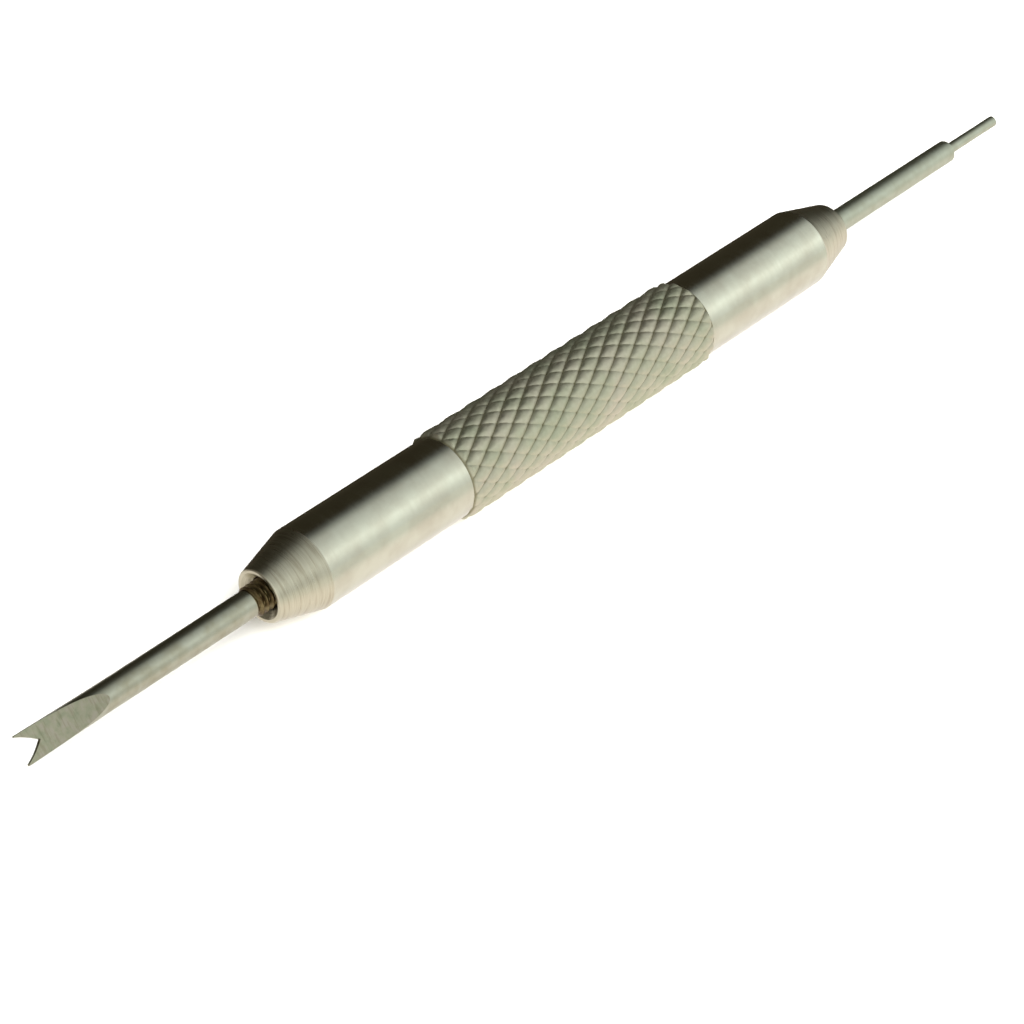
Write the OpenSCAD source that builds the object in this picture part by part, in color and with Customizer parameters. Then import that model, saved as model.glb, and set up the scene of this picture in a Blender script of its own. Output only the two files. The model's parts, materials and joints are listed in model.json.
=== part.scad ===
// Double-ended spring-bar tool: a turned, knurled handle with a screwed-in
// fork tip at one end and a screwed-in pin tip at the other.
// The tool's axis is X. The origin is the middle of the knurled grip, on the axis.
// The tool lies level, with the fork tip pointing to -X and the pin tip to +X.

/* [Handle] */
// Diameter over the knurl's crests
grip_d = 5.8; // [5.4:0.1:7]
// Length of the knurled grip
grip_l = 22.5; // [12:0.5:40]
// Diameter of the plain barrel on each side of the grip
barrel_d = 5.3; // [4.6:0.1:5.3]
// Length of each plain barrel
barrel_l = 11.8; // [6:0.2:20]
// Length of each cone
nose_l = 3.4; // [2:0.2:8]
// Diameter of the cones' flat ends
nose_d = 3.5; // [3.4:0.1:4.2]

/* [Screwed joints] */
// Outside diameter of the thread on the tips
thread_d = 2; // [1.8:0.1:2.2]
// Length of the thread on the tips
thread_l = 6; // [4:0.5:7]
// Length of thread left standing out of the handle
thread_out = 0.9; // [0.2:0.1:1.2]
// Radial gap between the thread and its hole
thread_gap = 0.03; // [0.01:0.01:0.05]
// Empty depth left in the hole behind the thread
hole_room = 1.4; // [0.6:0.2:3]
// Diameter of the countersink at the mouth of each hole
countersink_d = 3; // [2.6:0.1:3.1]

/* [Fork tip] */
// Diameter of the fork's shank
fork_shank_d = 1.7; // [1.4:0.02:1.7]
// Distance from the handle to the ends of the prongs
fork_reach = 17.8; // [12:0.1:26]
// Length of the hollow-ground flats, over which the blade also widens
flat_l = 5.8; // [5:0.1:9]
// Thickness of the blade at the prongs
blade_t = 0.24; // [0.2:0.02:0.4]
// Width across the prongs
fork_w = 1.84; // [1.7:0.02:2]
// Depth of the notch
notch_depth = 1.3; // [0.6:0.05:1.6]
// Width of the notch at the ends of the prongs
notch_w = 1.64; // [1.4:0.02:1.66]
// How far the sides of the notch bow outwards
notch_bow = 0.07; // [0:0.01:0.08]
// Angle from level, about the axis, at which the fork's thread comes tight
fork_turn = 52; // [0:1:180]

/* [Pin tip] */
// Diameter of the pin tip's shank
pin_shank_d = 1.56; // [1.4:0.02:1.7]
// Distance from the handle to the end of the pin
pin_reach = 19.1; // [14:0.1:28]
// Diameter of the pin
pin_d = 0.76; // [0.6:0.02:1]
// Length of the pin in front of its shoulder
pin_l = 5.5; // [3:0.1:7]

/* [Hidden] */
$fn = 96;

end_x = grip_l / 2 + barrel_l + nose_l;
grip_chamfer = (grip_d - barrel_d) / 2;
nose_round = 0.12;

thread_in = thread_l - thread_out;
thread_chamfer = 0.25;
runout_l = 0.15;
hole_d = thread_d + 2 * thread_gap;
hole_l = thread_in + hole_room;
drill_point_l = 0.6;
countersink_l = (countersink_d - hole_d) / 2;

// The wheel that grinds a flat leaves the shank's surface flat_l behind the prongs
// and runs level with the axis at their ends.
flat_fall = (fork_shank_d - blade_t) / 2;
wheel_r = (flat_l * flat_l + flat_fall * flat_fall) / (2 * flat_fall);
wheel_fn = 720;
notch_steps = 8;

shoulder_x = pin_reach - pin_l;
shoulder_chamfer = 0.14;
pin_chamfer = 0.08;
cut = 1;

// A body of revolution about X, from an outline of [distance along X, radius] points.
module turned(outline) {
    rotate([0, 90, 0])
        rotate_extrude()
            polygon([for (p = outline) [p[1], p[0]]]);
}

// The handle's outline from the end of the grip to the end of a cone.
half_outline = [
    [grip_l / 2 - grip_chamfer, grip_d / 2],
    [grip_l / 2, barrel_d / 2],
    [grip_l / 2 + barrel_l, barrel_d / 2],
    [end_x - nose_round, nose_d / 2],
    [end_x, nose_d / 2 - nose_round],
    [end_x, 0]
];
other_half = [for (i = [len(half_outline) - 1:-1:0]) [-half_outline[i][0], half_outline[i][1]]];

// Blind tapped hole in the +X end, drawn smooth at the thread's outside diameter,
// with a countersunk mouth and a drill point at its bottom.
module tapped_hole() {
    turned([
        [end_x + cut, 0],
        [end_x + cut, countersink_d / 2 + cut],
        [end_x - countersink_l, hole_d / 2],
        [end_x - hole_l, hole_d / 2],
        [end_x - hole_l - drill_point_l, 0]
    ]);
}

// One-piece turned handle
module handle() {
    color("silver")
        difference() {
            turned(concat(other_half, half_outline));
            tapped_hole();
            mirror([1, 0, 0]) tapped_hole();
        }
}

// The outline that both tips share: threaded root and runout to a shank of that diameter.
// Distances are counted outwards from the end of the handle.
function root_outline(shank_d) = [
    [-thread_in, 0],
    [-thread_in, thread_d / 2 - thread_chamfer],
    [-thread_in + thread_chamfer, thread_d / 2],
    [thread_out - runout_l, thread_d / 2],
    [thread_out, shank_d / 2]
];

// Grinding wheel that hollows one flat of the fork; side is 1 above and -1 below.
module grinding_wheel(side) {
    translate([fork_reach, 0, side * (blade_t / 2 + wheel_r)])
        rotate([90, 0, 0])
            cylinder(r = wheel_r, h = fork_w + 2 * cut, center = true, $fn = wheel_fn);
}

// One side of the notch, from the prong end to the bottom, bowed out like a parabola.
function notch_side(side) = [
    for (i = [0:notch_steps])
        let (t = i / notch_steps)
            [fork_reach - notch_depth * t, side * (notch_w / 2 * (1 - t) + notch_bow * 4 * t * (1 - t))]
];

module notch() {
    upper = notch_side(1);
    lower = notch_side(-1);
    linear_extrude(height = fork_w, center = true)
        polygon(concat(
            [[fork_reach + cut, notch_w / 2]],
            upper,
            [for (i = [notch_steps - 1:-1:0]) lower[i]],
            [[fork_reach + cut, -notch_w / 2]]
        ));
}

// Forked steel tip, screwed into the -X end
module fork_tip() {
    color("lightgray")
        translate([-end_x, 0, 0])
            rotate([fork_turn, 0, 0])
                mirror([1, 0, 0])
                    difference() {
                        turned(concat(root_outline(fork_shank_d), [
                            [fork_reach - flat_l, fork_shank_d / 2],
                            [fork_reach, fork_w / 2],
                            [fork_reach, 0]
                        ]));
                        for (side = [-1, 1]) grinding_wheel(side);
                        notch();
                    }
}

// Stepped steel pin tip, screwed into the +X end
module pin_tip() {
    color("lightgray")
        translate([end_x, 0, 0])
            turned(concat(root_outline(pin_shank_d), [
                [shoulder_x - shoulder_chamfer, pin_shank_d / 2],
                [shoulder_x, pin_shank_d / 2 - shoulder_chamfer],
                [shoulder_x, pin_d / 2],
                [pin_reach - pin_chamfer, pin_d / 2],
                [pin_reach, pin_d / 2 - pin_chamfer],
                [pin_reach, 0]
            ]));
}

handle();
fork_tip();
pin_tip();
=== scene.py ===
"""Double-ended spring-bar tool: knurled handle, screwed-in fork tip and screwed-in pin tip.

The tool's axis is X, and it lies on a pale floor with the fork towards -X and the pin towards +X.
Shapes are worked out in millimetres and become metres when their mesh is made.
"""

import json
import math

import bpy
import numpy as np
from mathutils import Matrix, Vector


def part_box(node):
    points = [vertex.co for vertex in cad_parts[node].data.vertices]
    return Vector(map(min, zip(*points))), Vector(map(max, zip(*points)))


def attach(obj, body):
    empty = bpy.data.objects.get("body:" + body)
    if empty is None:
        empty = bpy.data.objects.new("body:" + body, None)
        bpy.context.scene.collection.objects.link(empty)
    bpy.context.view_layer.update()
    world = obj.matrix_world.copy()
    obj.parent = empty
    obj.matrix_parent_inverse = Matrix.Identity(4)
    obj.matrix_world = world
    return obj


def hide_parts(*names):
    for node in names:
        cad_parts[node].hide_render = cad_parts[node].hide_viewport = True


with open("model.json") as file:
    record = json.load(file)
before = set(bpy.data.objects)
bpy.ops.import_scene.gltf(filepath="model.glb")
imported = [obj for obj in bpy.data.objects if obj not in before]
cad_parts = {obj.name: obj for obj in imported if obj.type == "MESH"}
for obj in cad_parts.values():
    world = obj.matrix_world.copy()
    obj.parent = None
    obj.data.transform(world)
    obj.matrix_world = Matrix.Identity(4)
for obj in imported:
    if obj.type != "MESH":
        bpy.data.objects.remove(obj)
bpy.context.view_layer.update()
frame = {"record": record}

MM = 0.001
TAU = 2 * np.pi

# ---------------------------------------------------------------- sizes, in millimetres

mounts = {m["name"]: m for m in frame["record"]["mounts"]}
handle_low, handle_high = (np.array(c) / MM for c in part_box("handle"))
fork_low, fork_high = (np.array(c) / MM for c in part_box("fork_tip"))
pin_low, pin_high = (np.array(c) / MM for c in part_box("pin_tip"))

END_X = handle_high[0]
GRIP_R = handle_high[1]
BARREL_R = mounts["pin_side_barrel"]["dims"]["r_mm"]
BARREL_L = mounts["pin_side_barrel"]["dims"]["length_mm"]
NOSE_L = 3.4
NOSE_R = 1.75
NOSE_ROUND = 0.12
BARREL_X = END_X - NOSE_L
GRIP_X = BARREL_X - BARREL_L

# Rolled diamond knurl: grooves around the handle, length of a diamond, depth where two grooves
# cross, how much of the second family's depth the first has, and where the grooves fade out
KNURL_AROUND = 16
DIAMOND_L = 1.875
GROOVE_DEPTH = 0.23
FIRST_BITE = 0.55
GROOVE_FADE = 0.24
KNURL_CHAMFER = GRIP_R - BARREL_R

# M2 thread: turn spacing, and radii of the crest and the root of the tips' outside thread
PITCH = 0.4
CREST_R = 0.985
ROOT_R = 0.7685
THREAD_GAP = 0.03
THREAD_IN = END_X - pin_low[0]
THREAD_OUT = 0.9
THREAD_STEP = 0.04

# Tapped hole: its whole depth, the depth that the tap reached, its plain drilled end, its point
# and its countersunk mouth
HOLE_L = THREAD_IN + 1.4
TAPPED_L = THREAD_IN + 0.85
DRILL_R = 0.8
DRILL_POINT_L = 0.48
COUNTERSINK_R = 1.5
COUNTERSINK_L = 0.47
MOUTH_ROWS = 9

FORK_SHANK_R = 0.85
FORK_REACH = -END_X - fork_low[0]
FLAT_L = 5.8
BLADE_T = 0.24
PRONG_R = 0.92
NOTCH_DEPTH = 1.3
NOTCH_W = 1.64
NOTCH_BOW = 0.07
FORK_TURN = math.radians(52)
FLAT_FALL = FORK_SHANK_R - BLADE_T / 2
WHEEL_R = (FLAT_L ** 2 + FLAT_FALL ** 2) / (2 * FLAT_FALL)

PIN_SHANK_R = 0.78
PIN_REACH = pin_high[0] - END_X
PIN_R = mounts["pin_point"]["dims"]["r_mm"]
PIN_L = 5.5
SHOULDER = PIN_REACH - PIN_L
SHOULDER_CHAMFER = 0.14
PIN_CHAMFER = 0.08

FLOOR_Z = handle_low[2]


# ---------------------------------------------------------------- surfaces

def smooth(t):
    """Smooth step: 3t^2 - 2t^3, with t held between 0 and 1."""
    t = np.clip(t, 0, 1)
    return t * t * (3 - 2 * t)


def around_axis(x, radius, angle):
    """Points at distance x along the axis and at a radius and an angle around it."""
    x, radius, angle = np.broadcast_arrays(x, radius, angle)
    return np.stack([x, radius * np.cos(angle), radius * np.sin(angle)], -1)


def grid_faces(rows, columns, first, other_diagonal=False):
    """Two triangles for each cell of a grid that is closed around, numbered row by row from first.
    A cell is cut from (row, column) to (next, next), or across where other_diagonal is true."""
    row = np.arange(rows - 1)[:, None] * columns + first
    here = np.arange(columns)[None, :]
    after = (here + 1) % columns
    a, b, c, d = row + here, row + after, row + columns + after, row + columns + here
    cut_one = np.stack([a, b, c, a, c, d], -1)
    cut_two = np.stack([a, b, d, b, c, d], -1)
    cut = np.where(np.asarray(other_diagonal)[..., None], cut_two, cut_one)
    return cut.reshape(rows - 1, columns, 2, 3)


def fan(ring, pole):
    """Triangles that close a ring with its pole, in the ring's own order."""
    return np.stack([ring, np.roll(ring, -1), np.full(len(ring), pole)], -1)


def strip(first, second):
    """Triangles between two open rows of points of one length; those with no area are left out."""
    a, b, c, d = first[:-1], first[1:], second[1:], second[:-1]
    faces = np.concatenate([np.stack([a, b, c], -1), np.stack([a, c, d], -1)])
    whole = (faces[:, 0] != faces[:, 1]) & (faces[:, 1] != faces[:, 2]) & (faces[:, 2] != faces[:, 0])
    return faces[whole]


def widening(inner, outer):
    """Triangles from a ring to one with four times as many points, five to each inner step."""
    k = np.arange(len(inner))
    near, far = inner, np.roll(inner, -1)
    out = [outer[(4 * k + i) % len(outer)] for i in range(5)]
    return np.concatenate([
        np.stack([near, out[1], out[0]], -1),
        np.stack([near, out[2], out[1]], -1),
        np.stack([near, far, out[2]], -1),
        np.stack([far, out[3], out[2]], -1),
        np.stack([far, out[4], out[3]], -1),
    ])


def thread_radius(x, angle):
    """Radius of the outside thread at x and an angle: a right-hand helix that turns once in PITCH.
    Across one turn it goes from a crest 1/8 wide down straight 60-degree flanks to a root 1/4 wide."""
    turn = x / PITCH - angle / TAU
    from_crest = np.abs(turn - np.round(turn))
    return CREST_R - (CREST_R - ROOT_R) * np.clip((from_crest - 1 / 16) / (5 / 16), 0, 1)


def new_piece(name, points, faces, finishes, finish_of_face, body, node, sharp=30):
    """A closed mesh at the origin, from points in millimetres, that stands for one CAD node.
    The sign of its volume says whether its faces are turned inwards, and turns them out."""
    p = points[faces]
    if np.einsum("ij,ij->i", p[:, 0], np.cross(p[:, 1], p[:, 2])).sum() < 0:
        faces = faces[:, ::-1]
    mesh = bpy.data.meshes.new(name)
    mesh.from_pydata(points * MM, [], faces)
    for finish in finishes:
        mesh.materials.append(finish)
    mesh.polygons.foreach_set("material_index", finish_of_face.astype(np.int32))
    mesh.shade_smooth()
    mesh.set_sharp_from_angle(angle=math.radians(sharp))
    mesh.update()
    piece = bpy.data.objects.new(name, mesh)
    bpy.context.scene.collection.objects.link(piece)
    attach(piece, body)
    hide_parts(node)


# ---------------------------------------------------------------- finishes

def colour(text):
    """Linear RGBA from an sRGB hex value."""
    c = np.array([int(text[i:i + 2], 16) for i in (1, 3, 5)]) / 255
    linear = np.where(c <= 0.04045, c / 12.92, ((c + 0.055) / 1.055) ** 2.4)
    return (*(float(v) for v in linear), 1.0)


def add(tree, kind, inputs=None, output=0, stops=None, **settings):
    """Adds one node with its settings and links, and gives back one of its outputs.
    Each input is a value or another node's output; stops are a ramp's places and linear colours."""
    node = tree.nodes.new(kind)
    for key, value in settings.items():
        setattr(node, key, value)
    for key, value in (inputs or {}).items():
        if isinstance(value, bpy.types.NodeSocket):
            tree.links.new(value, node.inputs[key])
        else:
            node.inputs[key].default_value = value
    if stops:
        marks = node.color_ramp.elements
        marks.remove(marks[-1])
        marks[0].position, marks[0].color = stops[0]
        for place, shade in stops[1:]:
            marks.new(place).color = shade
    return node.outputs[output] if node.outputs else None


def blank(name):
    """A new material with its nodes cleared, and its node tree."""
    material = bpy.data.materials.new(name)
    material.use_nodes = True
    material.node_tree.nodes.clear()
    return material, material.node_tree


def lines_around(tree, spacing_mm, arc_mm, detail=2.0):
    """Noise drawn out around the axis: spacing_mm fine along X, and about arc_mm long around."""
    place = add(tree, "ShaderNodeTexCoord", output="Object")
    fine, long = 1 / (spacing_mm * MM), 1 / (arc_mm * MM)
    drawn_out = add(tree, "ShaderNodeMapping", {"Vector": place, "Scale": (fine, long, long)})
    return add(tree, "ShaderNodeTexNoise", {"Vector": drawn_out, "Scale": 1.0, "Detail": detail})


def blotches(tree, size_mm, far_mm=0.0):
    """Even noise with spots of about size_mm, taken far_mm along from where the object is."""
    place = add(tree, "ShaderNodeTexCoord", output="Object")
    moved = add(tree, "ShaderNodeMapping", {"Vector": place, "Location": (far_mm * MM, 0, 0)})
    return add(tree, "ShaderNodeTexNoise", {"Vector": moved, "Scale": 1 / (size_mm * MM), "Detail": 3.0})


def off_axis(tree):
    """Distance from the tool's axis, in millimetres."""
    place = add(tree, "ShaderNodeTexCoord", output="Object")
    across = add(tree, "ShaderNodeVectorMath", {0: place, 1: (0, 1 / MM, 1 / MM)}, operation="MULTIPLY")
    return add(tree, "ShaderNodeVectorMath", {0: across}, "Value", operation="LENGTH")


def bare_metal(tree, base, dullness, roughness, bumps):
    """Finishes a bare metal's tree. Its roughness goes between two values as dullness goes from 0.3
    to 0.7, and each bump is a height and how tall in millimetres a height of 1 stands."""
    rough = add(tree, "ShaderNodeMapRange", {"Value": dullness, "From Min": 0.3, "From Max": 0.7,
                                             "To Min": roughness[0], "To Max": roughness[1]})
    normal = None
    for height, tall_mm in bumps:
        below = {"Normal": normal} if normal else {}
        normal = add(tree, "ShaderNodeBump", {"Height": height, "Distance": tall_mm * MM, **below})
    shader = add(tree, "ShaderNodeBsdfPrincipled",
                 {"Base Color": base, "Metallic": 1.0, "Roughness": rough, "Normal": normal})
    add(tree, "ShaderNodeOutputMaterial", {"Surface": shader})


def burnished_nickel():
    """Nickel-plated steel, turned and burnished: a soft mirror with fine rings and dull smudges."""
    material, tree = blank("burnished_nickel")
    rings = lines_around(tree, 0.12, 6)
    smudges = blotches(tree, 1.6)
    base = add(tree, "ShaderNodeValToRGB", {0: smudges},
               stops=[(0.35, colour("#C2C2B0")), (0.7, colour("#B7B4A2"))])
    bare_metal(tree, base, rings, (0.15, 0.24), [(smudges, 0.004), (rings, 0.0022)])
    return material


def turned_nickel():
    """The same plating over a cone left as it came off the lathe: uneven rings from the tool."""
    material, tree = blank("turned_nickel")
    rings = lines_around(tree, 0.13, 2.2, 3.0)
    fine_rings = lines_around(tree, 0.06, 1.2)
    base = add(tree, "ShaderNodeValToRGB", {0: rings},
               stops=[(0.34, colour("#ADA690")), (0.46, colour("#BCB7A1")), (0.7, colour("#C3BFAA"))])
    bare_metal(tree, base, fine_rings, (0.27, 0.38), [(rings, 0.022), (fine_rings, 0.004)])
    return material


def knurled_nickel():
    """Rolled knurl under dull plating: satin diamonds with wide green and pink stains from handling,
    and painted shade that darkens the deepest groove bottoms, most where the grooves cross."""
    material, tree = blank("knurled_nickel")
    height = add(tree, "ShaderNodeMapRange", {
        "Value": off_axis(tree),
        "From Min": GRIP_R - 0.95 * GROOVE_DEPTH, "From Max": GRIP_R - 0.6 * GROOVE_DEPTH})
    grain = blotches(tree, 0.25)
    stain = blotches(tree, 2.5, 7.0)
    worn = add(tree, "ShaderNodeValToRGB", {0: stain},
               stops=[(0.35, colour("#C3BEAA")), (0.5, colour("#C0BEA7")), (0.65, colour("#B6B89F"))])
    # Painted shade: the deepest groove bottoms take the dark #8F8A70, most where two grooves cross
    base = add(tree, "ShaderNodeMix", {0: height, 6: colour("#8F8A70"), 7: worn}, 2, data_type="RGBA")
    bare_metal(tree, base, grain, (0.52, 0.64), [(grain, 0.02)])
    return material


def drawn_steel():
    """Hardened drawn wire: a grey satin with faint lines around and grey-green smudges."""
    material, tree = blank("drawn_steel")
    smudges = blotches(tree, 0.9)
    rings = lines_around(tree, 0.1, 1.5)
    base = add(tree, "ShaderNodeValToRGB", {0: smudges},
               stops=[(0.35, colour("#A8A998")), (0.7, colour("#9A9782"))])
    bare_metal(tree, base, smudges, (0.3, 0.38), [(smudges, 0.004), (rings, 0.002)])
    return material


def satin_steel():
    """The pin's steel, tumbled after turning: paler and duller than the fork's wire."""
    material, tree = blank("satin_steel")
    smudges = blotches(tree, 0.7)
    rings = lines_around(tree, 0.08, 1.0)
    base = add(tree, "ShaderNodeValToRGB", {0: smudges},
               stops=[(0.35, colour("#B4B8A6")), (0.7, colour("#ABAD99"))])
    bare_metal(tree, base, rings, (0.4, 0.48), [(rings, 0.002)])
    return material


def ground_steel():
    """Flats fresh from a grinding wheel: faint scratches across the blade over a mottled dull grey."""
    material, tree = blank("ground_steel")
    scratches = lines_around(tree, 0.16, 1.1, 3.0)
    patches = blotches(tree, 0.45, 3.0)
    mottled = add(tree, "ShaderNodeValToRGB", {0: patches},
                  stops=[(0.34, colour("#8F917A")), (0.5, colour("#9A9882")), (0.66, colour("#A29C8B"))])
    streaks = add(tree, "ShaderNodeValToRGB", {0: scratches},
                  stops=[(0.34, colour("#EAE9E4")), (0.5, colour("#FFFFFF"))])
    base = add(tree, "ShaderNodeMix", {0: 1.0, 6: mottled, 7: streaks}, 2, data_type="RGBA",
               blend_type="MULTIPLY")
    bare_metal(tree, base, patches, (0.36, 0.46), [(patches, 0.02), (scratches, 0.003)])
    return material


def oiled_thread():
    """Cut thread where no plating reached, browned by old oil."""
    material, tree = blank("oiled_thread")
    grime = blotches(tree, 0.5)
    base = add(tree, "ShaderNodeValToRGB", {0: grime},
               stops=[(0.35, colour("#766B4B")), (0.65, colour("#503F27"))])
    bare_metal(tree, base, grime, (0.3, 0.42), [(grime, 0.004)])
    return material


def white_card():
    """Matt white card under the tool."""
    material, tree = blank("white_card")
    base = add(tree, "ShaderNodeValToRGB", {0: blotches(tree, 4.0)},
               stops=[(0.3, colour("#F3F1EC")), (0.7, colour("#F0EEE8"))])
    shader = add(tree, "ShaderNodeBsdfPrincipled",
                 {"Base Color": base, "Roughness": 0.9, "Specular IOR Level": 0.1})
    add(tree, "ShaderNodeOutputMaterial", {"Surface": shader})
    return material


def glowing_reflection_card():
    """A glowing sheet, no lamp, that paints the card's reflection for polished metal: cream and bright beside
    the tool, dimmer further in front, dimmer again just under it, and a painted near black band behind it,
    with a gap that lights the mouth of the fork's hole."""
    material, tree = blank("glowing_reflection_card")
    place = add(tree, "ShaderNodeTexCoord", output="Object")
    x, y, _ = add(tree, "ShaderNodeSeparateXYZ", {0: place}).node.outputs
    front = add(tree, "ShaderNodeMapRange", {"Value": y, "From Min": -26 * MM, "From Max": 4 * MM})
    # Painted reflection of the card: far and near are the lit card in front, and under, just beside and
    # beneath the tool, is dimmer as painted shade
    far, near, under = (0.532, 0.541, 0.519, 1), (0.682, 0.642, 0.62, 1), (0.59, 0.56, 0.54, 1)
    card = add(tree, "ShaderNodeValToRGB", {0: front},
               stops=[(0.0, far), (0.4, far), (0.64, near), (0.74, near), (0.81, under)])
    # Painted shade: from y = 2.5 mm back, the sheet turns near black. A gap from x = -34 to -27 mm stays lit
    # for the mouth of the fork's hole
    along = add(tree, "ShaderNodeMapRange", {"Value": x, "From Min": -40 * MM, "From Max": -20 * MM})
    black, white = colour("#000000"), colour("#FFFFFF")
    shade_along_x = add(tree, "ShaderNodeValToRGB", {0: along},
               stops=[(0.1, white), (0.3, black), (0.65, black), (0.8, white)])
    behind = add(tree, "ShaderNodeMapRange", {"Value": y, "From Min": 2.5 * MM, "From Max": 3.7 * MM})
    painted_shade_mask = add(tree, "ShaderNodeMath", {0: shade_along_x, 1: behind}, operation="MULTIPLY")
    painted_shade_colour = (0.025, 0.021, 0.014, 1)
    shade = add(tree, "ShaderNodeMix", {0: painted_shade_mask, 6: card, 7: painted_shade_colour}, 2, data_type="RGBA")
    # Painted reflection: the sheet glows at strength 2 though it is no lamp
    glow = add(tree, "ShaderNodeEmission", {"Color": shade, "Strength": 2.0})
    add(tree, "ShaderNodeOutputMaterial", {"Surface": glow})
    return material


BURNISHED, TURNED, KNURLED = burnished_nickel(), turned_nickel(), knurled_nickel()
DRAWN, SATIN, GROUND, OILED = drawn_steel(), satin_steel(), ground_steel(), oiled_thread()


# ---------------------------------------------------------------- handle

def knurl_height(x, angle):
    """Height over the groove bottoms, from 0 to 1, and whether the nearer groove is of the first kind.
    Two families of grooves wind around, left and right. Each phase is a whole number in its groove
    and away is the way from there to the middle of a diamond. The second family's wall falls by the
    power wall, and the first, whose wheel bit less, has FIRST_BITE of that depth. The two are joined
    by a sum of powers, so that they are deepest where they cross and round the diamonds' corners."""
    first = KNURL_AROUND * angle / TAU - x / DIAMOND_L
    second = KNURL_AROUND * angle / TAU + x / DIAMOND_L
    away_first = 2 * np.abs(first - np.round(first))
    away_second = 2 * np.abs(second - np.round(second))
    wall, join = 2.5, 1.5
    first_cut, second_cut = FIRST_BITE * (1 - away_first) ** wall, (1 - away_second) ** wall
    at_crossing = (FIRST_BITE ** join + 1) ** (1 / join)
    cut = (first_cut ** join + second_cut ** join) ** (1 / join) / at_crossing
    return 1 - cut, away_first <= away_second


def turning_rings(x, rng):
    """Depth of the rings that the turning tool left on a cone: a few wide ones over a fine ripple."""
    wide_rings = 8
    places = BARREL_X + NOSE_L * rng.uniform(0.08, 0.92, wide_rings)
    depths = rng.uniform(0.003, 0.009, wide_rings)
    widths = rng.uniform(0.03, 0.07, wide_rings)
    wide = (depths * np.exp(-((x[:, None] - places) / widths) ** 2)).sum(1)
    return wide + rng.uniform(0, 0.003, len(x))


def half_profile(rng):
    """Distances along X and radii from the grip's end out to the face, with the finish of each step.
    Points an edge away from each corner keep its shading crisp."""
    edge = 0.02
    round_turn = np.linspace(0, np.pi / 2, 6)
    cone_x = np.linspace(BARREL_X + edge, END_X - NOSE_ROUND, 38)[:-1]
    fall = (cone_x - BARREL_X) / (NOSE_L - NOSE_ROUND)
    cone_r = BARREL_R + (NOSE_R - BARREL_R) * fall - turning_rings(cone_x, rng)
    barrel_x = np.array([GRIP_X, GRIP_X + 0.03, *np.linspace(GRIP_X + 0.8, BARREL_X - 0.6, 6),
                         BARREL_X - edge, BARREL_X])
    barrel_r = np.full(len(barrel_x), BARREL_R)
    face_x = END_X - NOSE_ROUND + NOSE_ROUND * np.sin(round_turn)
    face_r = NOSE_R - NOSE_ROUND + NOSE_ROUND * np.cos(round_turn)
    x = np.concatenate([barrel_x, cone_x, face_x, [END_X]])
    r = np.concatenate([barrel_r, cone_r, face_r, [COUNTERSINK_R + 0.06]])
    finish = np.concatenate([np.zeros(len(barrel_x) - 1), np.ones(len(x) - len(barrel_x))])
    return x, r, finish


def hole_points(columns, end):
    """The tapped hole at the -X or +X end, as end says, from its bottom out to its mouth.
    Its thread is the tips' own with THREAD_GAP added, between a plain drilled end and the countersink,
    which opens it to the mouth."""
    angle = np.arange(columns) / columns * TAU
    row_step, tap_end = 0.055, 0.05
    tapped = np.arange(TAPPED_L, COUNTERSINK_L + 0.03, -row_step)
    mouth = np.linspace(COUNTERSINK_L, 0, MOUTH_ROWS)
    depth = np.concatenate([[HOLE_L, TAPPED_L + tap_end], tapped, mouth])[:, None]
    x = end * (END_X - depth)
    r = np.where(depth > TAPPED_L - tap_end, DRILL_R, thread_radius(x, angle) + THREAD_GAP)
    return around_axis(x, np.maximum(r, COUNTERSINK_R - depth), angle)


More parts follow.
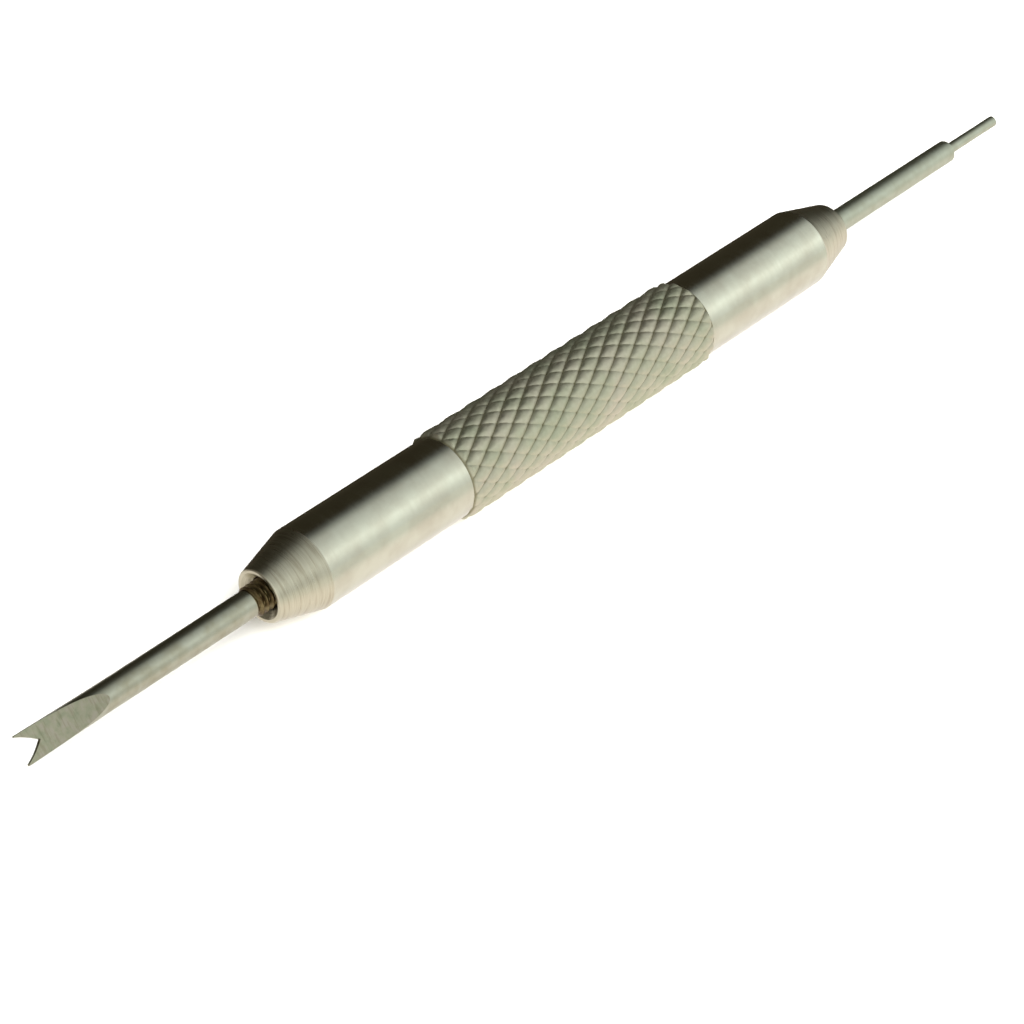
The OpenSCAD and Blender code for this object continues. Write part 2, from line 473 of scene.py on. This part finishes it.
def make_handle():
    """One closed skin: up the wall of one hole, over the outside and down the wall of the other."""
    rng = np.random.default_rng(7)
    columns, hole_columns = 256, 64
    angle = np.arange(columns) / columns * TAU

    rows_per_diamond = 16
    steps = int(round(2 * GRIP_X / DIAMOND_L)) * rows_per_diamond
    grip_x = np.linspace(-GRIP_X, GRIP_X, steps + 1)
    height, _ = knurl_height(grip_x[:, None], angle)
    to_end = GRIP_X - np.abs(grip_x)[:, None]
    crest = GRIP_R - np.maximum(KNURL_CHAMFER - to_end, 0)
    grip_r = crest - GROOVE_DEPTH * (1 - height) * smooth(to_end / GROOVE_FADE)

    right_x, right_r, right_finish = half_profile(rng)
    left_x, left_r, left_finish = half_profile(rng)
    outer_x = np.concatenate([-left_x[::-1], grip_x[1:-1], right_x])
    spread_out = np.ones((1, columns))
    outer_r = np.concatenate([left_r[::-1, None] * spread_out, grip_r[1:-1], right_r[:, None] * spread_out])
    outer = around_axis(outer_x[:, None], outer_r, angle)

    middle_x = (outer_x[:-1] + outer_x[1:])[:, None] / 2
    cell_angle = angle + TAU / columns / 2
    other_diagonal = ~knurl_height(middle_x, cell_angle)[1] & (np.abs(middle_x) < GRIP_X)
    row_finish = np.concatenate([left_finish[::-1], np.full(steps, 2), right_finish])

    left_hole, right_hole = hole_points(hole_columns, -1), hole_points(hole_columns, 1)

    drill_point = END_X - HOLE_L - DRILL_POINT_L
    parts = [[[-drill_point, 0, 0]], left_hole.reshape(-1, 3), outer.reshape(-1, 3),
             right_hole[::-1].reshape(-1, 3), [[drill_point, 0, 0]]]
    starts = np.cumsum([0] + [len(p) for p in parts])
    points = np.concatenate(parts)

    hole_rows, outer_rows = len(left_hole), len(outer)
    ring = np.arange(hole_columns)
    wide_ring = np.arange(columns)
    left_mouth = starts[1] + (hole_rows - 1) * hole_columns + ring
    right_mouth = starts[3] + ring
    left_face, right_face = starts[2] + wide_ring, starts[2] + (outer_rows - 1) * columns + wide_ring
    hole_faces_left = grid_faces(hole_rows, hole_columns, starts[1])
    hole_faces_right = grid_faces(hole_rows, hole_columns, starts[3])
    outer_faces = grid_faces(outer_rows, columns, starts[2], other_diagonal)
    last_ring = starts[3] + (hole_rows - 1) * hole_columns + ring

    # The countersink was cut before plating, and the thread after it. The finishes are numbered in
    # the order that the skin's list of them has
    in_mouth = np.arange(hole_rows - 1) >= hole_rows - MOUTH_ROWS
    hole_finish = np.repeat(np.where(in_mouth, 1, 3), hole_columns * 2)
    groups = [
        (fan(starts[1] + ring, 0)[:, ::-1], 3),
        (hole_faces_left.reshape(-1, 3), hole_finish),
        (widening(left_mouth, left_face), 1),
        (outer_faces.reshape(-1, 3), np.repeat(row_finish, columns * 2)),
        (widening(right_mouth, right_face)[:, ::-1], 1),
        (hole_faces_right.reshape(-1, 3), hole_finish[::-1]),
        (fan(last_ring, starts[4]), 3),
    ]
    faces = np.concatenate([f for f, _ in groups])
    finish = np.concatenate([np.broadcast_to(v, len(f)) for f, v in groups])
    new_piece("handle_skin", points, faces, [BURNISHED, TURNED, KNURLED, OILED], finish,
              "handle", "handle")


# ---------------------------------------------------------------- tips

def root_radius(out, x, angle, shank_r):
    """Radius of a tip's threaded root: the thread, chamfered at its inner end and fading to the shank.
    out is the distance outwards from the handle's face."""
    runout = 0.2
    thread = np.minimum(thread_radius(x, angle), ROOT_R + out + THREAD_IN)
    fade = smooth((out - THREAD_OUT + 0.02 + runout) / runout)
    return thread + (shank_r - thread) * fade


def make_pin_tip():
    """Turned steel: the root and shank, a chamfered shoulder, and the pin with a chamfered end."""
    columns = 96
    angle = np.arange(columns) / columns * TAU
    root = np.concatenate([np.arange(-THREAD_IN, THREAD_OUT, THREAD_STEP), [THREAD_OUT]])
    steps = [(SHOULDER - SHOULDER_CHAMFER, PIN_SHANK_R), (SHOULDER, PIN_SHANK_R - SHOULDER_CHAMFER),
             (SHOULDER, PIN_R), (PIN_REACH - PIN_CHAMFER, PIN_R), (PIN_REACH, PIN_R - PIN_CHAMFER)]
    out = np.concatenate([root, [1.0, 5.0, 9.0], [s[0] for s in steps]])
    plain = np.concatenate([np.full(len(root) + 3, PIN_SHANK_R), [s[1] for s in steps]])[:, None]
    x = (END_X + out)[:, None]
    r = np.where(out[:, None] <= THREAD_OUT, root_radius(out[:, None], x, angle, PIN_SHANK_R), plain)
    rows = len(out)
    points = np.concatenate([around_axis(x, r, angle).reshape(-1, 3),
                             [[END_X - THREAD_IN, 0, 0], [END_X + PIN_REACH, 0, 0]]])
    ring = np.arange(columns)
    sides = grid_faces(rows, columns, 0)
    finish = np.concatenate([np.repeat(np.where(out[:-1] < THREAD_OUT, 1, 0), columns * 2),
                             np.ones(columns), np.zeros(columns)])
    faces = np.concatenate([sides.reshape(-1, 3), fan(ring, rows * columns)[:, ::-1],
                            fan((rows - 1) * columns + ring, rows * columns + 1)])
    new_piece("pin_tip_steel", points, faces, [SATIN, OILED], finish,
              "pin_tip", "pin_tip")


def make_fork_tip():
    """Round steel wire whose section is cut off level at plus and minus h, the blade's half thickness.
    h follows the grinding wheel's arc up from the prongs. A quarter of the columns lies on each flat and
    each rounded side, and the flats' rows end on the notch, whose sides bow out like a parabola."""
    quarter = 40
    columns = 4 * quarter
    flat_start = FORK_REACH - FLAT_L
    notch_start = FORK_REACH - 2.4
    steepest = np.radians(88)
    end_half = math.sqrt(PRONG_R ** 2 - (BLADE_T / 2) ** 2)
    corner = NOTCH_W / 2 / end_half
    across = np.interp(np.arange(quarter), [0, 2, quarter / 2, quarter - 2, quarter],
                       [1, corner, 0, -corner, -1])
    along = np.arange(quarter) / quarter

    def wire(out):
        """Radius, blade half thickness, and the angle from level at which the flats' corners lie."""
        flare = np.clip((out - flat_start) / FLAT_L, 0, 1)
        radius = FORK_SHANK_R + (PRONG_R - FORK_SHANK_R) * flare
        back = np.clip(FORK_REACH - out, 0, FLAT_L)
        half = BLADE_T / 2 + WHEEL_R - np.sqrt(WHEEL_R ** 2 - back ** 2)
        settled = np.radians(45) + (steepest - np.radians(45)) * smooth(out - flat_start + 1)
        corner_angle = np.where(out < flat_start, settled,
                                np.minimum(np.arcsin(np.clip(half / radius, 0, 1)), steepest))
        return radius, half, corner_angle

    def notch_cut(y):
        """Depth of the notch at a distance y from its middle, from its side's own formula,
        y = (1 - t)(w / 2 + 4 bow t), solved for t."""
        slope = NOTCH_W / 2 - 4 * NOTCH_BOW
        under_root = slope ** 2 + 16 * NOTCH_BOW * np.maximum(NOTCH_W / 2 - np.abs(y), 0)
        return NOTCH_DEPTH * (np.sqrt(under_root) - slope) / (8 * NOTCH_BOW)

    cut = np.zeros(quarter)
    for _ in range(8):
        radius, half, corner_angle = wire(FORK_REACH - cut)
        cut = notch_cut(across * radius * np.cos(corner_angle))
    cut = np.where(np.abs(across) < corner, cut, 0)
    ends = FORK_REACH - np.concatenate([np.zeros(quarter), cut, np.zeros(quarter), cut])

    root = np.arange(-THREAD_IN, THREAD_OUT, THREAD_STEP)
    plain = np.concatenate([[THREAD_OUT, THREAD_OUT + 0.2], np.linspace(3, flat_start - 1.1, 4)])
    settling = np.linspace(flat_start - 1, flat_start, 9)
    hollow = flat_start + (notch_start - flat_start) * (np.arange(1, 42) / 41) ** 2
    shared = np.concatenate([root, plain, settling, hollow])[:, None] * np.ones((1, columns))
    forked = notch_start + (ends - notch_start) * (np.arange(1, 25) / 24)[:, None]
    out = np.concatenate([shared, forked])

    radius, half, corner_angle = wire(out)
    low_to_high = 2 * along - 1
    right = corner_angle[:, :quarter] * low_to_high
    top = np.arccos(np.clip(across * np.cos(corner_angle[:, quarter:2 * quarter]), -1, 1))
    left = np.pi + corner_angle[:, 2 * quarter:3 * quarter] * low_to_high
    bottom = TAU - np.arccos(np.clip(-across * np.cos(corner_angle[:, 3 * quarter:]), -1, 1))
    angle = np.concatenate([right, top, left, bottom], 1)

    x = -END_X - out
    radius = np.where(out < THREAD_OUT, root_radius(out, x, angle + FORK_TURN, FORK_SHANK_R), radius)
    y = radius * np.cos(angle)
    z = radius * np.sin(angle)
    z = np.where(out > flat_start, np.clip(z, -half, half), z)
    turned_y = y * math.cos(FORK_TURN) - z * math.sin(FORK_TURN)
    turned_z = y * math.sin(FORK_TURN) + z * math.cos(FORK_TURN)
    rows = len(out)
    points = np.concatenate([np.stack([x, turned_y, turned_z], -1).reshape(-1, 3),
                             [[-END_X + THREAD_IN, 0, 0]]])

    end = (rows - 1) * columns
    step = np.arange(quarter + 1)
    half_step = np.arange(quarter // 2 + 1)
    top_edge, bottom_edge = end + quarter + step, end + (columns - step) % columns
    sides = grid_faces(rows, columns, 0)
    caps = [strip(top_edge, bottom_edge),
            strip(end + half_step, end + quarter - half_step),
            strip(end + 2 * quarter + half_step, end + 3 * quarter - half_step)]
    ring = np.arange(columns)
    row_out = out[:-1, 0]
    finish = np.zeros((rows - 1, columns), int)
    finish[row_out < THREAD_OUT - 0.01] = 2
    flat = (row_out >= flat_start - 1e-6)[:, None]
    is_flat = np.concatenate([np.zeros(quarter, bool), np.ones(quarter, bool)] * 2)[None]
    finish = np.where(flat & is_flat, 1, finish)
    cap_faces = np.concatenate(caps)
    faces = np.concatenate([sides.reshape(-1, 3), cap_faces, fan(ring, rows * columns)[:, ::-1]])
    finish = np.concatenate([np.repeat(finish.reshape(-1), 2), np.ones(len(cap_faces)),
                             np.full(columns, 2)])
    new_piece("fork_tip_steel", points, faces, [DRAWN, GROUND, OILED], finish,
              "fork_tip", "fork_tip", sharp=14)


make_handle()
make_pin_tip()
make_fork_tip()


# ---------------------------------------------------------------- floor, light and camera

def make_card(name, finish, z):
    """A square of card around the tool, 3 m out each way, so that its edge is never near."""
    reach = 3.0
    mesh = bpy.data.meshes.new(name)
    mesh.from_pydata([(-reach, -reach, z), (reach, -reach, z), (reach, reach, z), (-reach, reach, z)],
                     [], [(0, 1, 2, 3)])
    mesh.materials.append(finish)
    card = bpy.data.objects.new(name, mesh)
    bpy.context.scene.collection.objects.link(card)
    return card


def make_floor():
    """The floor of white card, and just over it a glowing sheet, seen only in the metal's reflections, that
    paints what the metal sees in its place.
    """
    make_card("floor", white_card(), FLOOR_Z * MM)
    gap = 0.01
    # The glowing sheet is a painted reflection: hidden from the camera, from diffuse light and from shadows
    reflection_sheet = make_card("painted_reflection_floor", glowing_reflection_card(), (FLOOR_Z + gap) * MM)
    reflection_sheet.visible_camera = False
    reflection_sheet.visible_diffuse = False
    reflection_sheet.visible_shadow = False


def light_room():
    """A wide soft light on the camera's side, brightest halfway up, in a dark room.
    It wraps around the tool's axis, so its strength goes by the angle around X, and it falls off
    towards the middle and the ends. Past the fork a faint warm wall softens both the light
    and the dark. A lamp in front lights the floor and leaves no glint on the metal."""
    world = bpy.data.worlds.new("studio")
    bpy.context.scene.world = world
    world.use_nodes = True
    tree = world.node_tree
    tree.nodes.clear()

    def grey(v):
        return (v, v, v, 1.0)

    def soft(v):
        return (0.955 * v, v, v, 1.0)

    way = add(tree, "ShaderNodeTexCoord", output="Generated")
    along, across, up = add(tree, "ShaderNodeSeparateXYZ", {0: way}).node.outputs
    around = add(tree, "ShaderNodeMath", {0: across, 1: up}, operation="ARCTAN2")
    turn = add(tree, "ShaderNodeMapRange", {"Value": around, "From Min": -np.pi / 2, "From Max": np.pi / 2})
    dark = (0.042, 0.036, 0.023, 1.0)
    band = add(tree, "ShaderNodeValToRGB", {0: turn}, stops=[
        (0.0, soft(1.08)), (0.067, soft(1.22)), (0.13, soft(1.5)), (0.194, soft(1.68)), (0.26, soft(1.34)),
        (0.38, soft(0.98)), (0.48, soft(0.78)), (0.55, soft(0.42)), (0.61, soft(0.13)), (0.67, dark),
        (1.0, dark)])
    sideways = add(tree, "ShaderNodeMath", {0: along}, operation="ABSOLUTE")
    fall = add(tree, "ShaderNodeValToRGB", {0: sideways}, stops=[
        (0.0, grey(0.6)), (0.2, grey(0.66)), (0.5, grey(0.92)), (0.6, grey(1.0)), (0.72, grey(1.08)),
        (0.95, grey(0.4))])
    sides = add(tree, "ShaderNodeMix", {0: 1.0, 6: band, 7: fall}, 2, data_type="RGBA", blend_type="MULTIPLY")
    towards_fork = add(tree, "ShaderNodeMapRange", {
        "Value": along, "From Min": -0.15, "From Max": -0.5, "To Max": 0.2})
    warm_wall = (1.1, 1.03, 0.93, 1.0)
    lit = add(tree, "ShaderNodeMix", {0: towards_fork, 6: sides, 7: warm_wall}, 2, data_type="RGBA")
    seen = add(tree, "ShaderNodeLightPath", output="Is Camera Ray")
    room = add(tree, "ShaderNodeBackground", {"Color": lit})
    wall = add(tree, "ShaderNodeBackground", {"Color": grey(0.93)})
    both = add(tree, "ShaderNodeMixShader", {0: seen, 1: room, 2: wall})
    add(tree, "ShaderNodeOutputWorld", {"Surface": both})

    lamp = bpy.data.lights.new("floor_lamp", "SUN")
    lamp.energy = 8.0
    lamp.angle = math.radians(80)
    floor_lamp = bpy.data.objects.new("floor_lamp", lamp)
    floor_lamp.rotation_euler = Vector((0.1, -1, 1)).to_track_quat("Z", "Y").to_euler()
    floor_lamp.visible_glossy = False
    bpy.context.scene.collection.objects.link(floor_lamp)
    bpy.context.scene.view_settings.view_transform = "Standard"


def place_camera():
    """A long lens from the fork's end, above the tool and in front of it, aimed just beside its axis."""
    middle = Vector((-8.15, 0, 0)) * MM
    aim = Vector((-8.2, -2.903, -2.759)) * MM
    lens = bpy.data.cameras.new("camera")
    lens.lens = 112
    lens.sensor_width = 36
    lens.clip_start = 0.01
    camera = bpy.data.objects.new("camera", lens)
    distance = 191.7 * MM
    camera.location = middle + Vector((-0.595, -0.5485, 0.5875)).normalized() * distance
    camera.rotation_euler = (aim - camera.location).to_track_quat("-Z", "Y").to_euler()
    bpy.context.scene.collection.objects.link(camera)
    bpy.context.scene.camera = camera


make_floor()
light_room()
place_camera()
